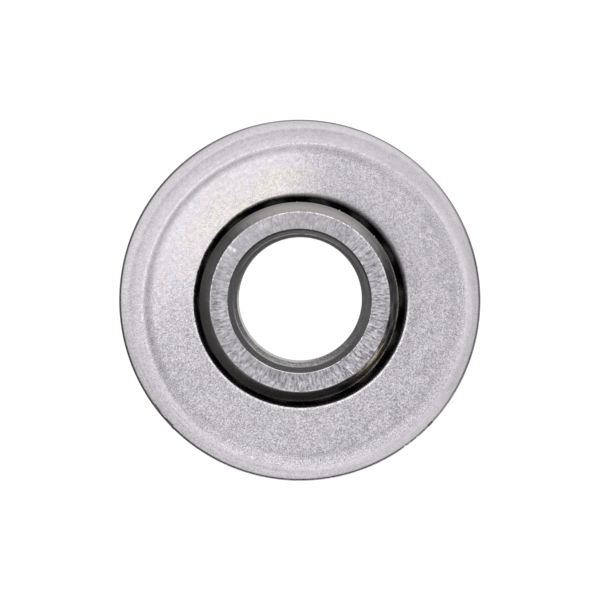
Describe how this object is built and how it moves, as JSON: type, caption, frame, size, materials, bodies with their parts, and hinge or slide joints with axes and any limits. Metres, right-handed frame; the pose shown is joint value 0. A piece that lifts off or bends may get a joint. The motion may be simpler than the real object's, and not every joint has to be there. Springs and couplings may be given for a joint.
{
  "type": "flanged ball bearing",
  "caption": "Flanged ball bearing of pressed steel with a wide inner race and a full set of balls, for a wheel hub on a plain axle.",
  "frame": {"origin": "on the bearing's axis, in the plane of the flange's seating face (the back of the flange)", "axes": "+Z along the axis, out of the flanged side; +Y is up in the picture and +X to its right"},
  "size_m": [0.0434, 0.0434, 0.0161],
  "materials": {
    "zinc_plate": "bright zinc plated pressed steel, fine grain, satin",
    "turned_steel": "turned and tumbled steel with a thin zinc plate, satin to glossy",
    "race_steel": "formed and hardened steel, dull, dark under an oil film",
    "ball_steel": "hardened steel balls, smooth, dark under an oil film"
  },
  "bodies": {
    "outer_ring": {"front_shell": "zinc_plate", "rear_shell": "zinc_plate", "outer_race_front": "race_steel", "outer_race_rear": "race_steel"},
    "inner_ring": {"inner_race": "turned_steel"},
    "ball_set": {"ball_01": "ball_steel", "ball_02": "ball_steel", "ball_03": "ball_steel", "ball_04": "ball_steel", "ball_05": "ball_steel", "ball_06": "ball_steel", "ball_07": "ball_steel", "ball_08": "ball_steel", "ball_09": "ball_steel", "ball_10": "ball_steel", "ball_11": "ball_steel", "ball_12": "ball_steel", "ball_13": "ball_steel", "ball_14": "ball_steel"}
  },
  "joints": [
    {"name": "inner_race_turn", "type": "hinge", "parent": "outer_ring", "child": "inner_ring", "pos_m": [0, 0, 0], "axis": [0, 0, 1], "continuous": true},
    {"name": "ball_orbit", "type": "hinge", "parent": "outer_ring", "child": "ball_set", "pos_m": [0, 0, -0.00436], "axis": [0, 0, 1], "continuous": true}
  ],
  "couplings": [
    {"joint": "ball_orbit", "follows": "inner_race_turn", "ratio": 0.38972}
  ]
}
